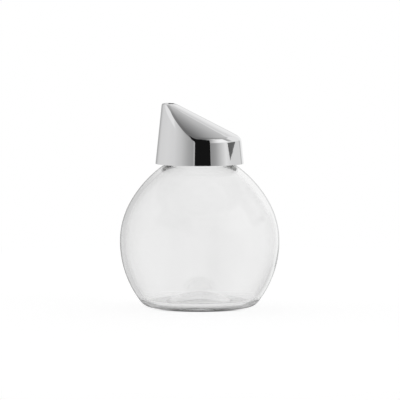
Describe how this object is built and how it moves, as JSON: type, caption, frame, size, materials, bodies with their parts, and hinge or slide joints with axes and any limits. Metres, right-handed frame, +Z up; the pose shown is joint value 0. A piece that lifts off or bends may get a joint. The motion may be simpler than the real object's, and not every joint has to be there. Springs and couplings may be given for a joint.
{
  "type": "sugar dispenser",
  "caption": "Clear globe-shaped glass jar with a tall chrome screw lid that leans up to a side spout with a pouring slot, for dispensing sugar.",
  "frame": {"origin": "centre of the jar's standing ring, on the table", "axes": "+Z up along the jar's and the lid's common axis; the spout points to -X; +Y away from the picture's camera"},
  "size_m": [0.09, 0.09, 0.1147],
  "materials": {
    "clear_glass": "gloss",
    "bright_lid": "polished",
    "white_plastic": "satin",
    "dark_plastic": "satin",
    "seal_rubber": "matte"
  },
  "bodies": {
    "jar": {"glass_jar": "clear_glass"},
    "seal": {"sealing_ring": "seal_rubber"},
    "lid": {"lid_shell": "bright_lid", "inner_cap": "white_plastic", "pour_tube": "dark_plastic"}
  },
  "joints": [
    {"name": "lid_rise", "type": "slide", "parent": "jar", "child": "seal", "axis": [0, 0, 1], "range_m": [0, 0.01269]},
    {"name": "lid_turn", "type": "hinge", "parent": "seal", "child": "lid", "pos_m": [0, 0, 0.0808], "axis": [0, 0, 1], "range_deg": [0, 1080]}
  ],
  "couplings": [
    {"joint": "lid_rise", "follows": "lid_turn", "m_per_rad": 0.00067322}
  ]
}
